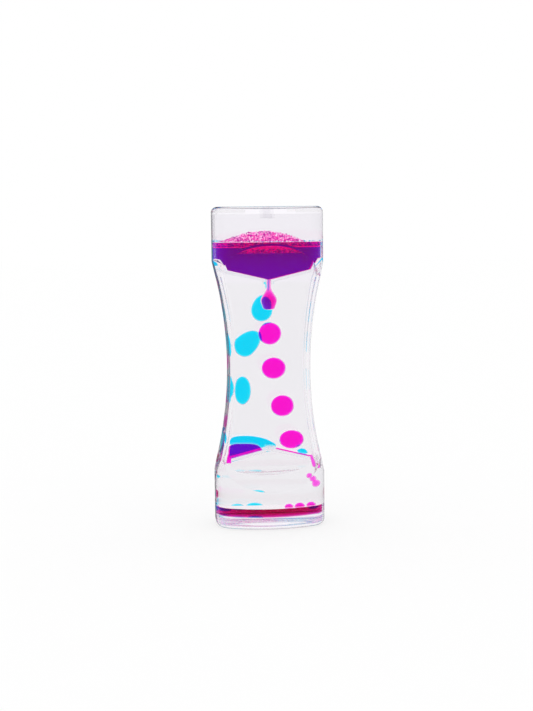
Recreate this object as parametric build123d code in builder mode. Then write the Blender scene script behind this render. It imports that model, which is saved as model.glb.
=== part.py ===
from build123d import *
import os
from math import radians, sqrt, tan

os.makedirs("parts", exist_ok=True)

# A liquid motion timer, standing on its base. The origin is the centre of the base, +Z is up and
# the front faces -Y. The front chamber holds magenta water, the back chamber cyan water. All
# lengths are in millimetres.

# Driving dimensions of the case
height = 132.0
width = 45.3
depth = 31.0
wall = 2.8
web = 1.0
face_radius = 42.0
corner_radius = 8.5
end_edge_radius = 2.4

# The hollowed waist: the sides are one long arc, the front and back are flat with a cove each end
waist_width = 33.0
waist_depth = 20.0
waist_corner_radius = 1.8
chamber_corner_radius = 1.0
side_arc_start = 22.0
cove_start = 31.0
cove_radius = 24.0
waist_overrun = 2.0

# Thickness of the side walls at the middle of the waist, as a share of the wall's thickness
waist_wall_share = 0.6

# End caps and their filling holes
cap_flange = 3.0
cap_plug = 1.8
weld_gap = 0.05
filler_radius = 2.2
filler_gap = 0.05
filler_recess = 0.3

# Dripping funnels
upper_funnel_depth = 29.8
lower_funnel_depth = 31.7
funnel_angle = 14.3
funnel_thickness = 1.2
funnel_fit = 0.05
notch_width = 1.95
tab_depth = 2.0
spout_length = 0.5
spout_wall = 1.0
hole_radius = 1.1

# Water at the top of the run
liquid_gap = 0.05
upper_level = 14.3
cyan_upper_level = 16.7
shoulder_rise = 4.2
neck_radius = 0.92
hanging_width = 6.9
bud_width = 2.1
bud_length = 3.2
magenta_froth_height = 4.8
cyan_froth_height = 3.6

# Drops held between the web and the wall
drop_clearance = 0.5
drop_width = 9.8
falling_width = 3.2
falling_thickness = 2.2

# Water on the lower funnels and on the floor
magenta_roof_level = 6.4
cyan_roof_level = 8.8
tail_length = 1.9
film_thickness = 0.7
run_length = 4.4
run_bend_radius = 0.6
run_end_radius = 0.9
roof_bead_height = 2.1
roof_bead_depth = 5.0
lower_level = 3.6
bead_width = 4.4
bead_height = 1.7
floor_bead_width = 5.8
floor_bead_depth = 4.0
floor_bead_height = 3.4

# Length of the hanging drop, as a share of the free fall between the funnels
hanging_length_share = 0.1775

# Places across the chamber, as shares of its half width at the waist, and up the free fall. The last
# magenta drop lies just above the film on the roof, so its height is a share of a drop's width.
magenta_drop_place_shares = [(0.01, 0.6833), (0.108, 0.4772), (0.3414, 0.2507)]
landed_drop_share = 0.594
landed_rise_share = 0.335
cyan_drop_place_shares = [(-0.169, 0.8167), (-0.665, 0.6046), (-0.735, 0.3377)]

# Widths, heights above the widest level and depths below it, as shares of a drop's width
magenta_drop_size_shares = [(0.99, 0.475, 0.475), (1.04, 0.46, 0.46), (1.0, 0.46, 0.46), (1.06, 0.4, 0.4)]
cyan_drop_size_shares = [(0.93, 0.66, 0.48), (0.96, 0.83, 0.45), (0.74, 0.61, 0.61)]
cyan_drop_tilts = [12, 48, 0]

# Outline of the hanging drop, as shares of its half width and of its length
hanging_shares = [(0.3, 0.3), (0.74, 0.51), (1.0, 0.71), (0.8, 0.89)]

# Ends and peak of the magenta froth, as shares of the half width of the chamber under it
magenta_froth_shares = (-0.92, -0.08, 0.7)

# Crests of the roof pools from tip to wall: share of the roof's half width to the left, and share
# of the pool's level above the roof's end
magenta_tip_share = 0.21
magenta_crest_shares = [(0.36, 0.9), (0.54, 0.98), (0.77, 1.0), (0.97, 0.96), (1.08, 0.8)]
cyan_tip_share = -0.155
cyan_crest_shares = [(-0.17, 0.49), (-0.077, 0.657), (0.07, 0.805), (0.27, 0.918), (0.48, 0.986)]
cyan_crest_shares += [(0.71, 1.0), (0.92, 0.95), (1.04, 0.8)]

# Bead on the right of the roof: where it starts, peaks and ends, as shares of the roof's half width
roof_bead_shares = (0.68, 0.85, 0.99)

# Falling drops: shares of the end's half width and half depth, of the funnel's height, and a size
falling_shares = [(0.82, 0.24, 0.609, 0.86), (0.885, 0.41, 0.552, 1.0)]

# Beads on the floor: distance from the right or left side wall as a share of a bead's width, share
# of the floor's half depth there, and a size
magenta_bead_shares = [(3.0, 0.62, 0.85), (2.02, 0.68, 1.0), (0.96, 0.7, 0.95)]
cyan_left_bead_shares = [(0.63, 0.7, 0.75), (1.53, 0.8, 0.95), (2.61, 0.77, 1.05)]
cyan_right_bead_shares = [(0.58, 0.65, 0.75)]

# Rounding of a squeezed drop's rim, as a share of its thickness, and the sweeps of drop outlines
rim_share = 0.36
quarter_turn = 90
half_turn = 180

# Worked out from the driving dimensions
middle = height / 2
cove_centre = waist_depth / 2 + cove_radius
bulge_drop = depth / 2 - waist_depth / 2
waist_start = cove_start - sqrt(2 * cove_radius * bulge_drop - bulge_drop**2) - waist_overrun
cap_depth = cap_flange + cap_plug
chamber_depth = waist_depth / 2 - wall - web / 2
chamber_middle = web / 2 + chamber_depth / 2
waist_reach = waist_width / 2 - waist_wall_share * wall
end_reach = width / 2 - wall
end_depth = depth / 2 - wall
drop_thickness = chamber_depth - 2 * drop_clearance
dish_apex = height - upper_funnel_depth
roof_apex = lower_funnel_depth + funnel_thickness
upper_top = height - upper_level
cyan_upper_top = height - cyan_upper_level
lower_top = cap_depth + liquid_gap + lower_level
free_fall = dish_apex - roof_apex
spout_radius = hole_radius + spout_wall
hanging_length = hanging_length_share * free_fall


def side_reach(z, inset):
    """Half width of the form that lies `inset` inside the case, at height z of the waist."""
    narrow = waist_width / 2 - waist_wall_share * inset
    sag = width / 2 - inset - narrow
    radius = ((middle - side_arc_start) ** 2 + sag**2) / (2 * sag)
    return narrow + radius - sqrt(radius**2 - (z - middle) ** 2)


def front_reach(z, inset):
    """Half depth of the form that lies `inset` inside the case, at height z of a lower cove."""
    return cove_centre - sqrt((cove_radius + inset) ** 2 - (cove_start - z) ** 2)


def plan_outline(inset):
    """Plan of the end blocks: bulged front and back, flat sides and rounded corners."""
    with BuildSketch() as plan:
        Rectangle(width - 2 * inset, depth - 2 * inset)
        with Locations((0, face_radius - depth / 2)):
            Circle(face_radius - inset, mode=Mode.INTERSECT)
        with Locations((0, depth / 2 - face_radius)):
            Circle(face_radius - inset, mode=Mode.INTERSECT)
        fillet(plan.vertices(), corner_radius - inset)
    return plan.sketch


def waist_form(inset, corner):
    """The hourglass between the end blocks, running a little way into them."""
    bottom, top = waist_start, height - waist_start
    side_end = side_reach(bottom, inset)
    cove_end = front_reach(bottom, inset)
    flat = waist_depth / 2 - inset
    cove_mid_z = (bottom + cove_start) / 2
    cove_mid = front_reach(cove_mid_z, inset)
    with BuildPart() as form:
        with BuildSketch(Plane.XZ):
            with BuildLine():
                ThreePointArc((side_end, bottom), (side_reach(middle, inset), middle), (side_end, top))
                Line((side_end, top), (-side_end, top))
                ThreePointArc((-side_end, top), (-side_reach(middle, inset), middle), (-side_end, bottom))
                Line((-side_end, bottom), (side_end, bottom))
            make_face()
        extrude(amount=depth, both=True)
        with BuildSketch(Plane.YZ):
            with BuildLine() as half:
                ThreePointArc((cove_end, bottom), (cove_mid, cove_mid_z), (flat, cove_start))
                Line((flat, cove_start), (flat, height - cove_start))
                ThreePointArc((flat, height - cove_start), (cove_mid, height - cove_mid_z), (cove_end, top))
                Polyline((cove_end, top), (-cove_end, top))
                mirror(half.edges().filter_by(lambda edge: edge.center().X > 0), about=Plane.YZ)
                Line((-cove_end, bottom), (cove_end, bottom))
            make_face()
        extrude(amount=width, both=True, mode=Mode.INTERSECT)
        corners = form.edges().filter_by(Axis.X, reverse=True).filter_by(Axis.Y, reverse=True)
        fillet(corners, corner)
    return form.part


def hourglass(inset, corner):
    """The whole form of the case, or one that lies `inset` inside it, with its corners rounded."""
    waist = waist_form(inset, corner)
    plan = plan_outline(inset)
    with BuildPart() as form:
        add(waist)
        with BuildSketch():
            Rectangle(2 * width, 2 * depth)
        extrude(amount=waist_start)
        with BuildSketch(Plane.XY.offset(height - waist_start)):
            Rectangle(2 * width, 2 * depth)
        extrude(amount=waist_start)
        with BuildSketch():
            add(plan)
        extrude(amount=height, mode=Mode.INTERSECT)
    return form.part


def dish(x):
    """Height of the upper funnel's dish at distance x from its hole."""
    return dish_apex + abs(x) * tan(radians(funnel_angle))


def roof(x):
    """Height of the lower funnel's roof at distance x from its spout."""
    return roof_apex - abs(x) * tan(radians(funnel_angle))


def chamber_layer(outline, from_web=liquid_gap, across=depth):
    """Water in the front chamber, with this outline from the front, from the web to the wall."""
    with BuildPart() as layer:
        with BuildSketch(Plane.XZ.offset(web / 2 + from_web)):
            add(outline)
        extrude(amount=across)
        add(wet_form, mode=Mode.INTERSECT)
    return layer.part


def egg(drop_across, thickness, above, below):
    """A round drop with its widest level at z = 0, as thick from front to back as given."""
    with BuildPart() as round_drop:
        with BuildSketch(Plane.XZ):
            with BuildLine():
                EllipticalCenterArc((0, 0), drop_across / 2, above, 0, arc_size=quarter_turn)
                Line((0, above), (0, -below))
                EllipticalCenterArc((0, 0), drop_across / 2, below, -quarter_turn, arc_size=quarter_turn)
            make_face()
        revolve(axis=Axis.Z)
    return scale(round_drop.part, by=(1, thickness / drop_across, 1))


def squeezed_drop(drop_across, thickness, above, below):
    """A drop that fills the depth of a chamber: an egg-shaped outline with a rounded rim."""
    with BuildPart() as flat_drop:
        with BuildSketch(Plane.XZ.offset(-thickness / 2)):
            with BuildLine():
                EllipticalCenterArc((0, 0), drop_across / 2, above, 0, arc_size=half_turn)
                EllipticalCenterArc((0, 0), drop_across / 2, below, half_turn, arc_size=half_turn)
            make_face()
        extrude(amount=thickness)
        fillet(flat_drop.edges().filter_by(GeomType.ELLIPSE), rim_share * thickness)
    return flat_drop.part


case_form = hourglass(0, waist_corner_radius)
cavity_form = hourglass(wall, chamber_corner_radius)
funnel_form = hourglass(wall + funnel_fit, chamber_corner_radius)
wet_form = hourglass(wall + liquid_gap, chamber_corner_radius)
flange_plan = plan_outline(0)
plug_plan = plan_outline(wall + weld_gap)

# Case body: the outer form less two chambers, which leaves the wall and the centre web
with BuildPart() as chambers:
    add(cavity_form)
    with BuildSketch(Plane.XY.offset(cap_depth)):
        Rectangle(width, web)
    extrude(amount=height - 2 * cap_depth, mode=Mode.SUBTRACT)

with BuildPart() as case_body:
    add(case_form)
    add(chambers.part, mode=Mode.SUBTRACT)
    split(bisect_by=Plane.XY.offset(cap_flange + weld_gap), keep=Keep.TOP)
    split(bisect_by=Plane.XY.offset(height - cap_flange - weld_gap), keep=Keep.BOTTOM)
case_body.part.label = "case_body"
export_step(case_body.part, "parts/case_body.step")

# Bottom cap: a flange with a rounded lower edge, and a plug that sits in the tube
with BuildPart() as bottom_cap:
    with BuildSketch():
        add(flange_plan)
    extrude(amount=cap_flange)
    fillet(bottom_cap.faces().sort_by(Axis.Z)[0].edges(), end_edge_radius)
    with BuildSketch(Plane.XY.offset(cap_flange)):
        add(plug_plan)
    extrude(amount=cap_plug)
bottom_cap.part.label = "bottom_cap"
export_step(bottom_cap.part, "parts/bottom_cap.step")

# Top cap: the same cap turned over, with one filling hole into each chamber
filler_place = web / 2 + (end_depth - web / 2) / 2
with BuildPart() as top_cap:
    mirror(bottom_cap.part, about=Plane.XY.offset(middle))
    with BuildSketch(Plane.XY.offset(height)):
        with Locations((0, -filler_place), (0, filler_place)):
            Circle(filler_radius)
    extrude(amount=-cap_depth, mode=Mode.SUBTRACT)
top_cap.part.label = "top_cap"
export_step(top_cap.part, "parts/top_cap.step")

# Filler plugs: short pins, flush with the underside of the top cap
for name, place in (("filler_plug_front", -filler_place), ("filler_plug_back", filler_place)):
    with BuildPart() as filler_plug:
        with BuildSketch(Plane.XY.offset(height - cap_depth)):
            with Locations((0, place)):
                Circle(filler_radius - filler_gap)
        extrude(amount=cap_depth - filler_recess)
    filler_plug.part.label = name
    export_step(filler_plug.part, f"parts/{name}.step")


def v_plate(apex):
    """A V-shaped plate right across the front chamber, with its dish's apex at this height."""
    rise = width * tan(radians(funnel_angle))
    with BuildPart() as plate:
        with BuildSketch(Plane.XZ.offset(web / 2 + funnel_fit)):
            with BuildLine():
                Polyline(
                    (-width, apex + rise),
                    (0, apex),
                    (width, apex + rise),
                    (width, apex + rise - funnel_thickness),
                    (0, apex - funnel_thickness),
                    (-width, apex + rise - funnel_thickness),
                    close=True,
                )
            make_face()
        extrude(amount=depth)
        add(funnel_form, mode=Mode.INTERSECT)
    return plate.part


def funnel(apex, reach):
    """A dripping funnel for the top of the front chamber: a plate with a spout and end notches."""
    plate = v_plate(apex)
    spout_end = apex - funnel_thickness - spout_length
    with BuildPart() as whole:
        add(plate)
        with BuildSketch(Plane.XY.offset(apex - funnel_thickness)):
            for side in (-1, 1):
                with Locations((side * (reach + width / 2), -web / 2 - tab_depth - depth / 2)):
                    Rectangle(width, depth)
        extrude(amount=upper_funnel_depth, mode=Mode.SUBTRACT)
        with BuildSketch(Plane.XY.offset(spout_end)):
            with Locations((0, -chamber_middle)):
                Circle(spout_radius)
        extrude(amount=funnel_thickness + spout_length)
        with BuildSketch(Plane.XY.offset(spout_end)):
            with Locations((0, -chamber_middle)):
                Circle(hole_radius)
        extrude(amount=upper_funnel_depth, mode=Mode.SUBTRACT)
    return whole.part


# Dripping funnels, and how far their plates reach from the middle before the notches
upper_end = side_reach(dish(waist_reach), wall) - notch_width
plate_end = side_reach(roof(waist_reach), wall) - notch_width
upper_form = funnel(dish_apex, upper_end)
lower_form = funnel(height - lower_funnel_depth, plate_end)

with BuildPart() as upper_front_funnel:
    add(upper_form)
upper_front_funnel.part.label = "upper_front_funnel"
export_step(upper_front_funnel.part, "parts/upper_front_funnel.step")

with BuildPart() as upper_back_funnel:
    mirror(upper_form, about=Plane.XZ)
upper_back_funnel.part.label = "upper_back_funnel"
export_step(upper_back_funnel.part, "parts/upper_back_funnel.step")

with BuildPart() as lower_front_funnel:
    mirror(lower_form, about=Plane.XY.offset(middle))
lower_front_funnel.part.label = "lower_front_funnel"
export_step(lower_front_funnel.part, "parts/lower_front_funnel.step")

with BuildPart() as lower_back_funnel:
    mirror(lower_front_funnel.part, about=Plane.XZ)
lower_back_funnel.part.label = "lower_back_funnel"
export_step(lower_back_funnel.part, "parts/lower_back_funnel.step")


def upper_pool(level_top):
    """Water that stands in an upper funnel up to this height, with shoulders at its notches."""
    shoulder = upper_end + notch_width
    shoulder_top = dish(upper_end) + shoulder_rise
    corner_z = dish(upper_end) + liquid_gap
    with BuildSketch() as outline:
        with BuildLine():
            Polyline(
                (-width, level_top),
                (-width, shoulder_top),
                (-shoulder, shoulder_top),
                (-upper_end, corner_z),
                (0, dish_apex + liquid_gap),
                (upper_end, corner_z),
                (shoulder, shoulder_top),
                (width, shoulder_top),
                (width, level_top),
                close=True,
            )
        make_face()
    return chamber_layer(outline.sketch)


def hanging_drop():
    """The neck in the spout and the drop that grows under it, with the dish's apex at z = 0."""
    half = hanging_width / 2
    with BuildPart() as round_drop:
        with BuildSketch(Plane.XZ):
            with BuildLine():
                Polyline((0, -hanging_length), (0, neck_radius), (neck_radius, neck_radius))
                Line((neck_radius, neck_radius), (neck_radius, -funnel_thickness))
                Spline(
                    (neck_radius, -funnel_thickness),
                    *[(half * across, -hanging_length * down) for across, down in hanging_shares],
                    (0, -hanging_length),
                    tangents=[(0, -1), (-1, 0)],
                )
            make_face()
        revolve(axis=Axis.Z)
    return scale(round_drop.part, by=(1, drop_thickness / hanging_width, 1))


# Magenta upper pool, with its neck and hanging drop
pool_form = upper_pool(upper_top)
hanging_form = hanging_drop()
with BuildPart() as magenta_upper_pool:
    add(pool_form)
    with Locations((0, -chamber_middle, dish_apex)):
        add(hanging_form)
magenta_upper_pool.part.label = "magenta_upper_pool"
export_step(magenta_upper_pool.part, "parts/magenta_upper_pool.step")

# Cyan upper pool, with the small bud at its hole
pool_form = upper_pool(cyan_upper_top)
bud_form = egg(bud_width, bud_width, bud_width, bud_length / 2)
with BuildPart() as front_bud_pool:
    add(pool_form)
    with BuildSketch(Plane.XY.offset(dish_apex + neck_radius)):
        with Locations((0, -chamber_middle)):
            Circle(neck_radius)
    extrude(amount=-neck_radius - funnel_thickness - spout_length)
    with Locations((0, -chamber_middle, dish_apex - funnel_thickness - spout_length - bud_width / 2)):
        add(bud_form)

with BuildPart() as cyan_upper_pool:
    mirror(front_bud_pool.part, about=Plane.XZ)
cyan_upper_pool.part.label = "cyan_upper_pool"
export_step(cyan_upper_pool.part, "parts/cyan_upper_pool.step")


# Magenta froth: a low mound of bubbles on the pool
froth_base = upper_top + liquid_gap
left, peak, right = (share * end_reach for share in magenta_froth_shares)
with BuildSketch() as mound:
    with BuildLine():
        ThreePointArc((left, froth_base), (peak, froth_base + magenta_froth_height), (right, froth_base))
        Line((right, froth_base), (left, froth_base))
    make_face()
magenta_mound = chamber_layer(mound.sketch)
with BuildPart() as magenta_froth:
    add(magenta_mound)
magenta_froth.part.label = "magenta_froth"
export_step(magenta_froth.part, "parts/magenta_froth.step")

# Cyan froth: a layer of bubbles as high as the sunken pool once stood
with BuildSketch() as layer_outline:
    with Locations((0, cyan_upper_top + liquid_gap + cyan_froth_height / 2)):
        Rectangle(2 * width, cyan_froth_height)
cyan_layer = chamber_layer(layer_outline.sketch)
with BuildPart() as cyan_froth:
    mirror(cyan_layer, about=Plane.XZ)
cyan_froth.part.label = "cyan_froth"
export_step(cyan_froth.part, "parts/cyan_froth.step")


def falling_place(place_shares, side):
    """Place of a drop in the waist: side is -1 in the front chamber and 1 in the back one."""
    across, up = place_shares
    return across * waist_reach, side * chamber_middle, roof_apex + up * free_fall


def drop_size(size_shares):
    """Width, thickness, height above and depth below the widest level of a drop in the waist."""
    across, above, below = (share * drop_width for share in size_shares)
    return across, drop_thickness, above, below


# Magenta drops, falling one after another in the front chamber
magenta_places = [falling_place(place_shares, -1) for place_shares in magenta_drop_place_shares]
landed_z = roof_apex + landed_rise_share * drop_width
magenta_places.append((landed_drop_share * waist_reach, -chamber_middle, landed_z))
for number, (place, size_shares) in enumerate(zip(magenta_places, magenta_drop_size_shares), start=1):
    drop_form = squeezed_drop(*drop_size(size_shares))
    with BuildPart() as magenta_drop:
        with Locations(place):
            add(drop_form)
    magenta_drop.part.label = f"magenta_drop_{number}"
    export_step(magenta_drop.part, f"parts/magenta_drop_{number}.step")

# Cyan drops, falling in the back chamber, two of them leaning
cyan_drops = zip(cyan_drop_place_shares, cyan_drop_size_shares, cyan_drop_tilts)
for number, (place_shares, size_shares, tilt) in enumerate(cyan_drops, start=1):
    drop_form = squeezed_drop(*drop_size(size_shares))
    with BuildPart() as cyan_drop:
        with Locations(Location(falling_place(place_shares, 1), (0, tilt, 0))):
            add(drop_form)
    cyan_drop.part.label = f"cyan_drop_{number}"
    export_step(cyan_drop.part, f"parts/cyan_drop_{number}.step")

# Two small magenta drops that have run off the right end of the lower front funnel
for number, (across, back, up, size_share) in enumerate(falling_shares, start=1):
    small = size_share * falling_width
    drop_form = egg(small, falling_thickness, small / 2, small / 2)
    with BuildPart() as falling_drop:
        with Locations((across * end_reach, -back * end_depth, up * lower_funnel_depth)):
            add(drop_form)
    falling_drop.part.label = f"magenta_falling_drop_{number}"
    export_step(falling_drop.part, f"parts/magenta_falling_drop_{number}.step")


def wet_roof(x):
    """Height of the underside of the water that lies on the lower funnel's roof."""
    return roof(x) + liquid_gap


def roof_pool(tip_share, crest_shares, level):
    """Water on the left of the lower front funnel's roof, from its tip to the side wall."""
    tip_x = -tip_share * plate_end
    crest = [(-left * plate_end, roof(plate_end) + up * level) for left, up in crest_shares]
    end_x, end_z = crest[-1]
    with BuildSketch() as outline:
        with BuildLine():
            Spline((tip_x, wet_roof(tip_x)), *crest)
            Line((end_x, end_z), (end_x, wet_roof(end_x)))
            if tip_x < 0:
                Line((end_x, wet_roof(end_x)), (tip_x, wet_roof(tip_x)))
            else:
                Polyline((end_x, wet_roof(end_x)), (0, wet_roof(0)), (tip_x, wet_roof(tip_x)))
        make_face()
    layer = chamber_layer(outline.sketch)
    with BuildPart() as pool:
        add(layer)
        add(lower_front_funnel.part, mode=Mode.SUBTRACT)
    return pool.part


# Magenta pool on the left of the roof, with a tail that hangs through the notch
with BuildSketch() as tail_outline:
    with BuildLine():
        Polyline(
            (-plate_end - liquid_gap, roof(plate_end) + tail_length),
            (-width, roof(plate_end) + tail_length),
            (-width, roof(plate_end) - tail_length),
            (-plate_end - liquid_gap, roof(plate_end) - tail_length),
            close=True,
        )
    make_face()
roof_layer = roof_pool(magenta_tip_share, magenta_crest_shares, magenta_roof_level)
tail_layer = chamber_layer(tail_outline.sketch, tab_depth + liquid_gap)
with BuildPart() as magenta_roof_pool:
    add(roof_layer)
    add(tail_layer)
magenta_roof_pool.part.label = "magenta_roof_pool"
export_step(magenta_roof_pool.part, "parts/magenta_roof_pool.step")

# Cyan pool on the left of the back roof
roof_layer = roof_pool(cyan_tip_share, cyan_crest_shares, cyan_roof_level)
with BuildPart() as cyan_roof_pool:
    mirror(roof_layer, about=Plane.XZ)
cyan_roof_pool.part.label = "cyan_roof_pool"
export_step(cyan_roof_pool.part, "parts/cyan_roof_pool.step")

# Magenta film down the right of the roof, over its end, and a run through the notch
film_start = spout_radius + liquid_gap
bend_x = plate_end + liquid_gap + run_bend_radius
bend_z = wet_roof(plate_end) + film_thickness - run_bend_radius
run_end_z = bend_z - run_length
run_end_x = side_reach(run_end_z, wall + liquid_gap) - run_end_radius - liquid_gap
with BuildSketch() as film_outline:
    with BuildLine():
        Polyline(
            (film_start, wet_roof(film_start)),
            (plate_end, wet_roof(plate_end)),
            (plate_end, wet_roof(plate_end) + film_thickness),
            (film_start, wet_roof(film_start) + film_thickness),
            close=True,
        )
    make_face()
with BuildSketch() as bridge_outline:
    with BuildLine():
        Polyline(
            (plate_end - film_thickness, wet_roof(plate_end - film_thickness)),
            (plate_end, wet_roof(plate_end)),
            (bend_x, wet_roof(plate_end)),
            (bend_x, wet_roof(plate_end) + film_thickness),
            (plate_end - film_thickness, wet_roof(plate_end - film_thickness) + film_thickness),
            close=True,
        )
    make_face()
with BuildSketch() as run_outline:
    with Locations((bend_x, bend_z)):
        Circle(run_bend_radius)
    with Locations((run_end_x, run_end_z)):
        Circle(run_end_radius)
    make_hull()
film_layer = chamber_layer(film_outline.sketch)
bridge_layer = chamber_layer(bridge_outline.sketch, tab_depth + liquid_gap)
run_layer = chamber_layer(run_outline.sketch, tab_depth + liquid_gap, tab_depth)
with BuildPart() as magenta_roof_film:
    add(film_layer)
    add(bridge_layer)
    add(run_layer)
magenta_roof_film.part.label = "magenta_roof_film"
export_step(magenta_roof_film.part, "parts/magenta_roof_film.step")

# Cyan bead on the right of the back roof
bead_start, bead_peak, bead_end = (share * plate_end for share in roof_bead_shares)
with BuildSketch() as roof_bead_outline:
    with BuildLine():
        ThreePointArc(
            (bead_start, wet_roof(bead_start)),
            (bead_peak, wet_roof(bead_peak) + roof_bead_height),
            (bead_end, wet_roof(bead_end)),
        )
        Line((bead_end, wet_roof(bead_end)), (bead_start, wet_roof(bead_start)))
    make_face()
bead_layer = chamber_layer(roof_bead_outline.sketch, drop_clearance, roof_bead_depth)
with BuildPart() as cyan_roof_bead:
    mirror(bead_layer, about=Plane.XZ)
cyan_roof_bead.part.label = "cyan_roof_bead"
export_step(cyan_roof_bead.part, "parts/cyan_roof_bead.step")

# Magenta pool on the floor of the front chamber
with BuildSketch() as lower_outline:
    with Locations((0, cap_depth + liquid_gap + lower_level / 2)):
        Rectangle(2 * width, lower_level)
lower_layer = chamber_layer(lower_outline.sketch)
with BuildPart() as magenta_lower_pool:
    add(lower_layer)
magenta_lower_pool.part.label = "magenta_lower_pool"
export_step(magenta_lower_pool.part, "parts/magenta_lower_pool.step")


def floor_reach(x):
    """Half depth of the floor at distance x from the middle, on its bulged face or round corner."""
    bulge = face_radius - wall
    corner = corner_radius - wall
    corner_x = end_reach - corner
    if abs(x) < corner_x * bulge / (bulge - corner):
        return sqrt(bulge**2 - x**2) - face_radius + depth / 2
    corner_y = sqrt((bulge - corner) ** 2 - corner_x**2) - face_radius + depth / 2
    return corner_y + sqrt(corner**2 - (abs(x) - corner_x) ** 2)


def floor_place(from_wall, back_share, bead_across):
    """Distances from the middle, across and to the front or back, of a bead on the floor."""
    across = end_reach - from_wall
    return across, back_share * floor_reach(across + bead_across / 2)


# Magenta beads that float in the floor pool's surface
for number, (wall_share, back_share, size_share) in enumerate(magenta_bead_shares, start=1):
    bead_across = size_share * bead_width
    bead_up = size_share * bead_height
    across, back = floor_place(wall_share * bead_width, back_share, bead_across)
    bead_form = egg(bead_across, bead_across, bead_up, bead_up)
    with BuildPart() as magenta_bead:
        with Locations((across, -back, lower_top + liquid_gap)):
            add(bead_form)
        split(bisect_by=Plane.XY.offset(lower_top + liquid_gap), keep=Keep.TOP)
    magenta_bead.part.label = f"magenta_bead_{number}"
    export_step(magenta_bead.part, f"parts/magenta_bead_{number}.step")

# Cyan beads on the floor of the back chamber, three on the left and one on the right
cyan_bead_shares = [(-1, shares) for shares in cyan_left_bead_shares]
cyan_bead_shares += [(1, shares) for shares in cyan_right_bead_shares]
for number, (side, (wall_share, back_share, size_share)) in enumerate(cyan_bead_shares, start=1):
    bead_across = size_share * floor_bead_width
    bead_thick = size_share * floor_bead_depth
    bead_up = size_share * floor_bead_height / 2
    across, back = floor_place(wall_share * floor_bead_width, back_share, bead_across)
    bead_form = egg(bead_across, bead_thick, bead_up, bead_up)
    with BuildPart() as cyan_bead:
        with Locations((side * across, back, cap_depth + liquid_gap + bead_up)):
            add(bead_form)
    cyan_bead.part.label = f"cyan_bead_{number}"
    export_step(cyan_bead.part, f"parts/cyan_bead_{number}.step")
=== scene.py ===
from itertools import product
from math import cos, radians, sin
from random import Random

import bmesh
import bpy
from mathutils import Matrix, Vector


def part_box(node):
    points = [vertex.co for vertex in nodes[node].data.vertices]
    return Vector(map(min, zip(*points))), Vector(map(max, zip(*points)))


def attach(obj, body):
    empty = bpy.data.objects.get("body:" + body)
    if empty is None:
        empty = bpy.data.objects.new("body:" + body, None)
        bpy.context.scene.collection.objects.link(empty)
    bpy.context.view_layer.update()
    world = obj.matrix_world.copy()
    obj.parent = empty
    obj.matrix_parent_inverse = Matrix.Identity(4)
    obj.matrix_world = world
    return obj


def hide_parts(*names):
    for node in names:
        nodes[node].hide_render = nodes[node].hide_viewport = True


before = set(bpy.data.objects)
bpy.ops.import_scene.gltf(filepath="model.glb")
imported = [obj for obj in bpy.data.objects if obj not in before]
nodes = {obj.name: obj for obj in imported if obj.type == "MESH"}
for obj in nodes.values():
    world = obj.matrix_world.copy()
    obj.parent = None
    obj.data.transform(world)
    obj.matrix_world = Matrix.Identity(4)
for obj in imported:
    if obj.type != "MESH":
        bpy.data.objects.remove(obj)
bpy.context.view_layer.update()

# The scene is in metres. Lengths named here are in millimetres and pass through mm() once.
MM = 0.001

# Camera: where it stands, how it looks, and how the picture is framed
PHOTO_WIDTH = 533
PHOTO_HEIGHT = 711
CAMERA_DISTANCE = 561.0
AIM_HEIGHT = 66.0
CAMERA_YAW = radians(6.0)
CAMERA_PITCH = radians(6.5)
CAMERA_ROLL = radians(-0.56)
FOCAL_PIXELS = 1349.3
CENTRE_PIXEL_X = 268.07
CENTRE_PIXEL_Y = 366.29

# What the camera sees, and the floor, in metres
CLIP_START = 0.01
CLIP_END = 20
FLOOR_REACH = 3.0

# Refractive indices: of the plastic in air, in oil and at a weld, and of dyed water in oil
PLASTIC_IN_AIR = 1.53
PLASTIC_IN_OIL = 1.045
PLASTIC_IN_PLASTIC = 1.002
WATER_IN_OIL = 0.911

# What dyed water takes out of red, green and blue light, per metre.
# The upper and lower magenta pools have their own.
MAGENTA_TAKES = (2, 1000, 70)
MAGENTA_POOL_TAKES = (32, 1000, 150)
MAGENTA_FLOOR_TAKES = (80, 1000, 240)
CYAN_TAKES = (1000, 46, 5)
DENSITY_SLACK = 1.001

# Painted glow that the dyed water gives off by itself under any light, standing in for a
# fluorescent dye
MAGENTA_PAINTED_GLOW = (0.06, 0.0, 0.02)
MAGENTA_POOL_PAINTED_GLOW = (0.09, 0.0, 0.01)
MAGENTA_FLOOR_PAINTED_GLOW = (0.03, 0.0, 0.0)
CYAN_PAINTED_GLOW = (0.0, 0.02, 0.05)

# Noise in features per metre, and the part of its range that is used
CLOUDS = 60
POLISH = 400
MOULD_WAVES = 90
SCUFFS = 900
SCUFF_STRETCH = (1, 1, 0.15)
RIPPLES = 250
PAPER_GRAIN = 40
NOISE_LOW = 0.3
NOISE_HIGH = 0.7

# Tints and polish: each runs between its two values
PLASTIC_TINTS = ((0.962, 0.96, 0.966), (0.98, 0.978, 0.982))
PLASTIC_ROUGHNESS = (0.0, 0.012)
WATER_TINTS = ((0.98, 0.98, 0.98), (1.0, 1.0, 1.0))
WATER_ROUGHNESS = (0.0, 0.01)
PAPER_TINTS = ((0.995, 0.995, 0.995), (1.0, 1.0, 1.0))
RIPPLE_MM = 0.01

# Relief of the plastic: the depth of its waves and of its scuffs
AIR_RELIEF_MM = (0.012, 0.0004)
OIL_RELIEF_MM = (0.01, 0.0003)
WELD_RELIEF_MM = (0.004, 0.0003)

# Skins of the froth's bubbles, and the painted glow they give off in their own shades
FROTH_ROUGHNESS = 0.12
FROTH_CLEAR_SHARE = 0.45
FROTH_INDEX = 1.2
FROTH_PAINTED_GLOW = 0.25

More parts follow.
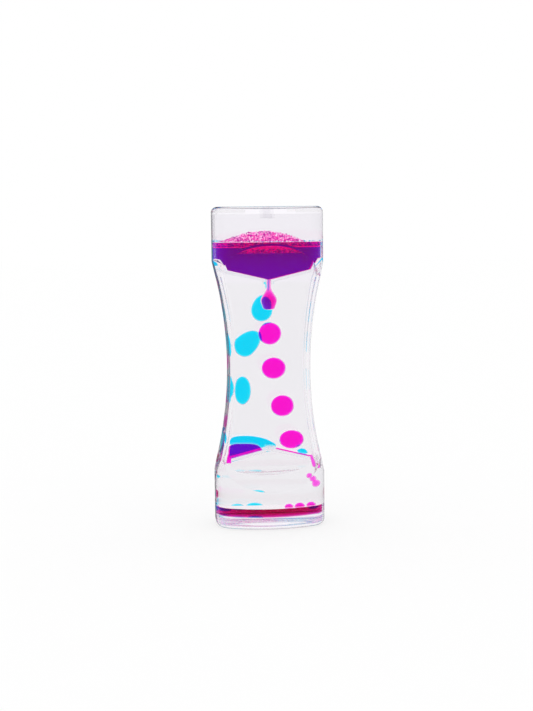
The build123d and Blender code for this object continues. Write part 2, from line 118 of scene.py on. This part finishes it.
# Studio: grey flags by how far a level direction points forward or back, and the dark room that
# the outside of the object mirrors
FLAG_STOPS = ((0.0, 1.0), (0.16, 1.0), (0.26, 0.5), (0.4, 0.5), (0.5, 1.0))
ROOM = (0.12, 0.12, 0.13)
FLAG_GREEN = 0.98
FLAG_BLUE = 1.02
LIT_FLOOR = (0.97, 0.96, 0.98)
HALF = 0.5

# Share of the floor's brightness that no shadow darkens
FLOOR_GLOW_SHARE = 0.75
FLOOR_SINK_MM = 0.05

# How many times light may bounce
MOST_BOUNCES = 48
MOST_GLOSSY_BOUNCES = 16


def mm(*lengths):
    """A vector in metres from lengths in millimetres."""
    return Vector([length * MM for length in lengths])


# Camera


def make_camera():
    """A camera at the photograph's viewing angle, with the small shift of its framing."""
    forward = Vector(
        (
            sin(CAMERA_YAW) * cos(CAMERA_PITCH),
            cos(CAMERA_YAW) * cos(CAMERA_PITCH),
            -sin(CAMERA_PITCH),
        )
    )
    level_right = Vector((cos(CAMERA_YAW), -sin(CAMERA_YAW), 0))
    level_up = level_right.cross(forward)
    right = level_right * cos(CAMERA_ROLL) + level_up * sin(CAMERA_ROLL)
    up = level_up * cos(CAMERA_ROLL) - level_right * sin(CAMERA_ROLL)
    data = bpy.data.cameras.new("camera")
    data.lens = FOCAL_PIXELS / PHOTO_HEIGHT * data.sensor_width
    data.shift_x = (PHOTO_WIDTH / 2 - CENTRE_PIXEL_X) / PHOTO_HEIGHT
    data.shift_y = (CENTRE_PIXEL_Y - PHOTO_HEIGHT / 2) / PHOTO_HEIGHT
    data.clip_start = CLIP_START
    data.clip_end = CLIP_END
    camera = bpy.data.objects.new("camera", data)
    turn = Matrix((right, up, -forward)).transposed().to_4x4()
    place = mm(0, 0, AIM_HEIGHT) - forward * CAMERA_DISTANCE * MM
    camera.matrix_world = Matrix.Translation(place) @ turn
    bpy.context.scene.collection.objects.link(camera)
    bpy.context.scene.camera = camera


# Materials


def new_material(name):
    """A node material with only its output."""
    material = bpy.data.materials.new(name)
    material.use_nodes = True
    tree = material.node_tree
    tree.nodes.clear()
    output = tree.nodes.new("ShaderNodeOutputMaterial")
    return material, tree, output


def noise(tree, scale, detail=3.0, stretch=(1, 1, 1)):
    """Smooth noise on the object's own coordinates, in features per metre."""
    place = tree.nodes.new("ShaderNodeTexCoord")
    mapping = tree.nodes.new("ShaderNodeMapping")
    mapping.inputs["Scale"].default_value = stretch
    texture = tree.nodes.new("ShaderNodeTexNoise")
    texture.inputs["Scale"].default_value = scale
    texture.inputs["Detail"].default_value = detail
    tree.links.new(place.outputs["Object"], mapping.inputs["Vector"])
    tree.links.new(mapping.outputs["Vector"], texture.inputs["Vector"])
    return texture.outputs["Fac"]


def between(tree, fac, low, high):
    """A value that runs from low to high over the used part of the noise."""
    spread = tree.nodes.new("ShaderNodeMapRange")
    spread.inputs["From Min"].default_value = NOISE_LOW
    spread.inputs["From Max"].default_value = NOISE_HIGH
    spread.inputs["To Min"].default_value = low
    spread.inputs["To Max"].default_value = high
    tree.links.new(fac, spread.inputs["Value"])
    return spread.outputs["Result"]


def tint(tree, fac, dark, light):
    """A colour between dark and light."""
    mix = tree.nodes.new("ShaderNodeMix")
    mix.data_type = "RGBA"
    tree.links.new(fac, mix.inputs["Factor"])
    mix.inputs["A"].default_value = (*dark, 1)
    mix.inputs["B"].default_value = (*light, 1)
    return mix.outputs["Result"]


def bump(tree, height, distance_mm, under=None):
    """A surface normal from a height, on top of another normal where one is given."""
    node = tree.nodes.new("ShaderNodeBump")
    if under:
        tree.links.new(under, node.inputs["Normal"])
    node.inputs["Distance"].default_value = distance_mm * MM
    tree.links.new(height, node.inputs["Height"])
    return node.outputs["Normal"]


def clear_shader(tree, index, tints, roughness):
    """A clear surface whose tint and polish vary a little."""
    shader = tree.nodes.new("ShaderNodeBsdfPrincipled")
    shader.inputs["Transmission Weight"].default_value = 1.0
    shader.inputs["IOR"].default_value = index
    tree.links.new(tint(tree, noise(tree, CLOUDS), *tints), shader.inputs["Base Color"])
    tree.links.new(between(tree, noise(tree, POLISH), *roughness), shader.inputs["Roughness"])
    return shader


def plastic(name, index, wave_mm, scratch_mm):
    """Clear moulded plastic: slow waves from the mould, and fine scuffs."""
    material, tree, output = new_material(name)
    shader = clear_shader(tree, index, PLASTIC_TINTS, PLASTIC_ROUGHNESS)
    waves = noise(tree, MOULD_WAVES, detail=1.0)
    scuffs = noise(tree, SCUFFS, detail=6.0, stretch=SCUFF_STRETCH)
    wavy = bump(tree, waves, wave_mm)
    tree.links.new(bump(tree, scuffs, scratch_mm, wavy), shader.inputs["Normal"])
    tree.links.new(shader.outputs["BSDF"], output.inputs["Surface"])
    return material


def dyed_water(name, takes, glow, index=WATER_IN_OIL):
    """Dyed water in clear oil, with a little painted glow of its own that stands in for a
    fluorescent dye.
    """
    material, tree, output = new_material(name)
    shader = clear_shader(tree, index, WATER_TINTS, WATER_ROUGHNESS)
    # Painted glow: the water gives off this colour as light, lit or in shade
    shader.inputs["Emission Color"].default_value = (*glow, 1)
    shader.inputs["Emission Strength"].default_value = 1.0
    ripple = bump(tree, noise(tree, RIPPLES, detail=1.0), RIPPLE_MM)
    tree.links.new(ripple, shader.inputs["Normal"])
    dye = tree.nodes.new("ShaderNodeVolumeAbsorption")
    density = max(takes) * DENSITY_SLACK
    dye.inputs["Color"].default_value = (*(1 - share / density for share in takes), 1)
    dye.inputs["Density"].default_value = density
    tree.links.new(shader.outputs["BSDF"], output.inputs["Surface"])
    tree.links.new(dye.outputs["Volume"], output.inputs["Volume"])
    return material


def froth_skin(name, shades):
    """Tiny bubbles in several shades, the palest of them painted sparkle: half clear skins that
    catch the light and give off a painted glow in their own shade.
    """
    material, tree, output = new_material(name)
    island = tree.nodes.new("ShaderNodeNewGeometry")
    ramp = tree.nodes.new("ShaderNodeValToRGB")
    ramp.color_ramp.interpolation = "CONSTANT"
    while len(ramp.color_ramp.elements) < len(shades):
        ramp.color_ramp.elements.new(HALF)
    for number, (element, shade) in enumerate(zip(ramp.color_ramp.elements, shades)):
        element.position = number / len(shades)
        element.color = (*shade, 1)
    tree.links.new(island.outputs["Random Per Island"], ramp.inputs["Fac"])
    shader = tree.nodes.new("ShaderNodeBsdfPrincipled")
    shader.inputs["Roughness"].default_value = FROTH_ROUGHNESS
    shader.inputs["Transmission Weight"].default_value = FROTH_CLEAR_SHARE
    shader.inputs["IOR"].default_value = FROTH_INDEX
    # Painted glow: each bubble gives off light in its own shade, so the froth sparkles even in the
    # dim
    shader.inputs["Emission Strength"].default_value = FROTH_PAINTED_GLOW
    tree.links.new(ramp.outputs["Color"], shader.inputs["Base Color"])
    tree.links.new(ramp.outputs["Color"], shader.inputs["Emission Color"])
    tree.links.new(shader.outputs["BSDF"], output.inputs["Surface"])
    return material


# Shades of the bubbles, one chosen at random per bubble. The near-white shade in each list is
# painted sparkle, standing in for glints on the froth
PINK_SHADES_AND_SPARKLE = (
    (0.95, 0.12, 0.62),
    (1.0, 0.85, 0.97),
    (0.45, 0.0, 0.42),
    (1.0, 0.45, 0.85),
    (0.85, 0.02, 0.5),
)
BLUE_SHADES_AND_SPARKLE = ((0.05, 0.6, 0.9), (0.8, 0.97, 1.0), (0.0, 0.3, 0.75), (0.25, 0.85, 0.95))
magenta_foam = froth_skin("magenta_foam", PINK_SHADES_AND_SPARKLE)
cyan_foam = froth_skin("cyan_foam", BLUE_SHADES_AND_SPARKLE)
plastic_in_air = plastic("plastic_in_air", PLASTIC_IN_AIR, *AIR_RELIEF_MM)
plastic_in_oil = plastic("plastic_in_oil", PLASTIC_IN_OIL, *OIL_RELIEF_MM)
plastic_weld = plastic("plastic_weld", PLASTIC_IN_PLASTIC, *WELD_RELIEF_MM)
magenta_water = dyed_water("magenta_water", MAGENTA_TAKES, MAGENTA_PAINTED_GLOW)
magenta_pool_water = dyed_water("magenta_pool_water", MAGENTA_POOL_TAKES, MAGENTA_POOL_PAINTED_GLOW)
magenta_floor_water = dyed_water("magenta_floor_water", MAGENTA_FLOOR_TAKES, MAGENTA_FLOOR_PAINTED_GLOW)
cyan_water = dyed_water("cyan_water", CYAN_TAKES, CYAN_PAINTED_GLOW)


# Faces of the shell: against the air, against the oil, and against the next piece of plastic


def paint(node, find):
    """Gives each face of a plastic node the finish of what it lies against."""
    mesh = nodes[node].data
    mesh.materials.clear()
    for material in (plastic_in_air, plastic_in_oil, plastic_weld):
        mesh.materials.append(material)
    for face in mesh.polygons:
        face.material_index = find(face.center, face.normal)


CHAMBER_MIDDLE = (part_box("magenta_drop_1")[0].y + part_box("magenta_drop_1")[1].y) / 2
PLUG_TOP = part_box("bottom_cap")[1].z
PLUG_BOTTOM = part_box("top_cap")[0].z
FLANGE_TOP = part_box("case_body")[0].z
FLANGE_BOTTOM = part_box("case_body")[1].z
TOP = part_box("top_cap")[1].z
PLUG_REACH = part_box("magenta_lower_pool")[1].x
NEAR = 0.06 * MM


def case_side(centre, normal):
    """0 outside, 1 in a chamber, 2 at a cap's flange."""
    if min(centre.z - FLANGE_TOP, FLANGE_BOTTOM - centre.z) < NEAR:
        return 2
    middle = -CHAMBER_MIDDLE if centre.y > 0 else CHAMBER_MIDDLE
    outward = normal.x * centre.x + normal.y * (centre.y - middle)
    return 0 if outward > 0 else 1


def cap_side(centre, normal):
    """0 outside, 1 towards a chamber, 2 against the tube or a filler plug."""
    if PLUG_TOP - NEAR < centre.z < PLUG_BOTTOM + NEAR:
        return 1
    if FLANGE_TOP - NEAR < centre.z < FLANGE_BOTTOM + NEAR:
        return 2
    inside = abs(centre.x) < PLUG_REACH / 2 and abs(normal.z) < HALF and centre.z > TOP / 2
    return 2 if inside and normal.x * centre.x + normal.y * centre.y < centre.length else 0


def plug_side(centre, normal):
    """0 on top, 1 below, 2 round the side."""
    if abs(normal.z) < HALF:
        return 2
    return 0 if normal.z > 0 else 1


paint("case_body", case_side)
paint("bottom_cap", cap_side)
paint("top_cap", cap_side)
paint("filler_plug_front", plug_side)
paint("filler_plug_back", plug_side)

FUNNELS = ["upper_front_funnel", "upper_back_funnel", "lower_front_funnel", "lower_back_funnel"]


def dress(node, material):
    """Gives a whole CAD node one material."""
    nodes[node].data.materials.clear()
    nodes[node].data.materials.append(material)


for funnel in FUNNELS:
    dress(funnel, plastic_in_oil)


# Water: every pool, drop and bead. The pools and films are rounded as surface tension rounds them,
# by a skin of small cells that is smoothed a number of times.

UPPER_CELL_MM = 0.2
UPPER_ROUNDS = 5
ROOF_CELL_MM = 0.16
ROOF_ROUNDS = 14
FILM_CELL_MM = 0.12
FILM_ROUNDS = 4
LOWER_CELL_MM = 0.2
LOWER_ROUNDS = 8


def soften(node, cell_mm, rounds):
    """Rounds the edges of a body of water."""
    remesh = nodes[node].modifiers.new("skin", "REMESH")
    remesh.mode = "VOXEL"
    remesh.voxel_size = cell_mm * MM
    remesh.use_smooth_shade = True
    smooth = nodes[node].modifiers.new("tension", "SMOOTH")
    smooth.factor = HALF
    smooth.iterations = rounds


for node in nodes:
    if node.startswith("magenta"):
        dress(node, magenta_water)
    if node.startswith("cyan"):
        dress(node, cyan_water)

dress("magenta_upper_pool", magenta_pool_water)
dress("magenta_lower_pool", magenta_floor_water)

for node in ("magenta_upper_pool", "cyan_upper_pool"):
    soften(node, UPPER_CELL_MM, UPPER_ROUNDS)
for node in ("magenta_roof_pool", "cyan_roof_pool", "cyan_roof_bead"):
    soften(node, ROOF_CELL_MM, ROOF_ROUNDS)
soften("magenta_roof_film", FILM_CELL_MM, FILM_ROUNDS)
soften("magenta_lower_pool", LOWER_CELL_MM, LOWER_ROUNDS)


# Froth: a heap of tiny separate bubbles, with a ragged top

RAGGED_SHARE = 0.22
RAGGED_PER_METRE = 2900
TRIES_PER_BALL = 12

# For each froth: the count of bubbles, their smallest and largest radius, how much the layer falls
# away at its ends, and the seed of its random places
MAGENTA_BUBBLES = 2300
MAGENTA_RADII_MM = (0.12, 0.36)
MAGENTA_DOME = 1.0
MAGENTA_SEED = 11
CYAN_BUBBLES = 500
CYAN_RADII_MM = (0.16, 0.4)
CYAN_DOME = 0.25
CYAN_SEED = 12


def packed_balls(low, high, crown, count, small, large, chance):
    """Places and radii of balls that don't touch, under the height that crown(x) gives."""
    cell = 2 * large
    taken = {}
    balls = []
    for _ in range(count * TRIES_PER_BALL):
        if len(balls) == count:
            break
        radius = chance.uniform(small, large)
        x = chance.uniform(low.x + radius, high.x - radius)
        y = chance.uniform(low.y + radius, high.y - radius)
        room = crown(x) - 2 * radius
        if room < 0:
            continue
        place = Vector((x, y, low.z + radius + chance.uniform(0, room)))
        key = tuple(int(length // cell) for length in place)
        steps = product((-1, 0, 1), repeat=3)
        near = [ball for step in steps for ball in taken.get(tuple(map(sum, zip(key, step))), [])]
        if any((place - other).length < radius + size for other, size in near):
            continue
        taken.setdefault(key, []).append((place, radius))
        balls.append((place, radius))
    return balls


def ball_mesh():
    """Corners and faces of a ball of radius 1."""
    ball = bmesh.new()
    bmesh.ops.create_icosphere(ball, subdivisions=2, radius=1)
    corners = [corner.co.copy() for corner in ball.verts]
    faces = [[corner.index for corner in face.verts] for face in ball.faces]
    ball.free()
    return corners, faces


def froth(node, material, count, radii_mm, dome, seed):
    """Many separate bubbles in place of a solid of froth, in a layer or, as a dome, a low mound."""
    name = node + "_bubbles"
    small, large = (radius * MM for radius in radii_mm)
    low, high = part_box(node)
    middle_x = (low.x + high.x) / 2
    half = (high.x - low.x) / 2
    rise = high.z - low.z

    def crown(x):
        notch = RAGGED_SHARE * abs(sin(x * RAGGED_PER_METRE))
        return rise * (1 - dome * ((x - middle_x) / half) ** 2) * (1 - notch)

    chance = Random(seed)
    balls = packed_balls(low, high, crown, count, small, large, chance)
    unit_corners, unit_faces = ball_mesh()
    corners = []
    faces = []
    for place, radius in balls:
        first = len(corners)
        corners += [place + corner * radius for corner in unit_corners]
        faces += [[first + index for index in face] for face in unit_faces]
    data = bpy.data.meshes.new(name)
    data.from_pydata(corners, [], faces)
    data.shade_smooth()
    data.materials.append(material)
    piece = bpy.data.objects.new(name, data)
    bpy.context.scene.collection.objects.link(piece)
    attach(piece, "case")
    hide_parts(node)


froth("magenta_froth", magenta_foam, MAGENTA_BUBBLES, MAGENTA_RADII_MM, MAGENTA_DOME, MAGENTA_SEED)
froth("cyan_froth", cyan_foam, CYAN_BUBBLES, CYAN_RADII_MM, CYAN_DOME, CYAN_SEED)


# Studio: a white floor, and a white world with four soft grey flags that only glass sees


def ray_kinds(tree):
    """Two masks: rays that look through the object, and rays mirrored by its outside alone."""
    path = tree.nodes.new("ShaderNodeLightPath")
    either = tree.nodes.new("ShaderNodeMath")
    either.operation = "MAXIMUM"
    tree.links.new(path.outputs["Is Glossy Ray"], either.inputs[0])
    tree.links.new(path.outputs["Is Transmission Ray"], either.inputs[1])
    outside = tree.nodes.new("ShaderNodeMath")
    outside.operation = "LESS_THAN"
    outside.inputs[1].default_value = HALF
    tree.links.new(path.outputs["Transmission Depth"], outside.inputs[0])
    mirrored = tree.nodes.new("ShaderNodeMath")
    mirrored.operation = "MULTIPLY"
    tree.links.new(path.outputs["Is Glossy Ray"], mirrored.inputs[0])
    tree.links.new(outside.outputs["Value"], mirrored.inputs[1])
    return either.outputs["Value"], mirrored.outputs["Value"]


def make_floor():
    """A large white floor just under the base. Seen through the object it is evenly lit."""
    mesh = bmesh.new()
    bmesh.ops.create_grid(mesh, x_segments=1, y_segments=1, size=FLOOR_REACH)
    data = bpy.data.meshes.new("floor")
    mesh.to_mesh(data)
    mesh.free()
    floor = bpy.data.objects.new("floor", data)
    floor.location.z = -FLOOR_SINK_MM * MM
    bpy.context.scene.collection.objects.link(floor)
    material, tree, output = new_material("floor")
    paper = tree.nodes.new("ShaderNodeBsdfDiffuse")
    grain = tint(tree, noise(tree, PAPER_GRAIN), *PAPER_TINTS)
    tree.links.new(grain, paper.inputs["Color"])
    glow = tree.nodes.new("ShaderNodeEmission")
    tree.links.new(grain, glow.inputs["Color"])
    pale = tree.nodes.new("ShaderNodeMixShader")
    pale.inputs["Fac"].default_value = FLOOR_GLOW_SHARE
    tree.links.new(paper.outputs["BSDF"], pale.inputs[1])
    tree.links.new(glow.outputs["Emission"], pale.inputs[2])
    lit = tree.nodes.new("ShaderNodeEmission")
    looking, mirrored = ray_kinds(tree)
    tree.links.new(tint(tree, mirrored, LIT_FLOOR, ROOM), lit.inputs["Color"])
    mix = tree.nodes.new("ShaderNodeMixShader")
    tree.links.new(looking, mix.inputs["Fac"])
    tree.links.new(pale.outputs["Shader"], mix.inputs[1])
    tree.links.new(lit.outputs["Emission"], mix.inputs[2])
    tree.links.new(mix.outputs["Shader"], output.inputs["Surface"])
    data.materials.append(material)


def make_world():
    """White all round. Refracted and reflected rays also see grey flags beside the object."""
    world = bpy.data.worlds.new("studio")
    world.use_nodes = True
    tree = world.node_tree
    tree.nodes.clear()
    output = tree.nodes.new("ShaderNodeOutputWorld")
    place = tree.nodes.new("ShaderNodeTexCoord")
    flat = tree.nodes.new("ShaderNodeVectorMath")
    flat.operation = "MULTIPLY"
    flat.inputs[1].default_value = (1, 1, 0)
    unit = tree.nodes.new("ShaderNodeVectorMath")
    unit.operation = "NORMALIZE"
    split = tree.nodes.new("ShaderNodeSeparateXYZ")
    size = tree.nodes.new("ShaderNodeMath")
    size.operation = "ABSOLUTE"
    flags = tree.nodes.new("ShaderNodeValToRGB")
    ramp = flags.color_ramp
    ramp.interpolation = "EASE"
    while len(ramp.elements) < len(FLAG_STOPS):
        ramp.elements.new(HALF)
    for element, (position, grey) in zip(ramp.elements, FLAG_STOPS):
        element.position = position
        element.color = (grey, grey * FLAG_GREEN, grey * FLAG_BLUE, 1)
    tree.links.new(place.outputs["Generated"], flat.inputs[0])
    tree.links.new(flat.outputs["Vector"], unit.inputs[0])
    tree.links.new(unit.outputs["Vector"], split.inputs["Vector"])
    tree.links.new(split.outputs["Y"], size.inputs[0])
    tree.links.new(size.outputs["Value"], flags.inputs["Fac"])
    looking, mirrored = ray_kinds(tree)
    room = tree.nodes.new("ShaderNodeMix")
    room.data_type = "RGBA"
    tree.links.new(mirrored, room.inputs["Factor"])
    tree.links.new(flags.outputs["Color"], room.inputs["A"])
    room.inputs["B"].default_value = (*ROOM, 1)
    seen = tree.nodes.new("ShaderNodeBackground")
    tree.links.new(room.outputs["Result"], seen.inputs["Color"])
    plain = tree.nodes.new("ShaderNodeBackground")
    plain.inputs["Color"].default_value = (1, 1, 1, 1)
    mix = tree.nodes.new("ShaderNodeMixShader")
    tree.links.new(looking, mix.inputs["Fac"])
    tree.links.new(plain.outputs["Background"], mix.inputs[1])
    tree.links.new(seen.outputs["Background"], mix.inputs[2])
    tree.links.new(mix.outputs["Shader"], output.inputs["Surface"])
    bpy.context.scene.world = world


make_camera()
make_floor()
make_world()

scene = bpy.context.scene
scene.view_settings.view_transform = "Standard"
scene.cycles.max_bounces = MOST_BOUNCES
scene.cycles.transmission_bounces = MOST_BOUNCES
scene.cycles.glossy_bounces = MOST_GLOSSY_BOUNCES
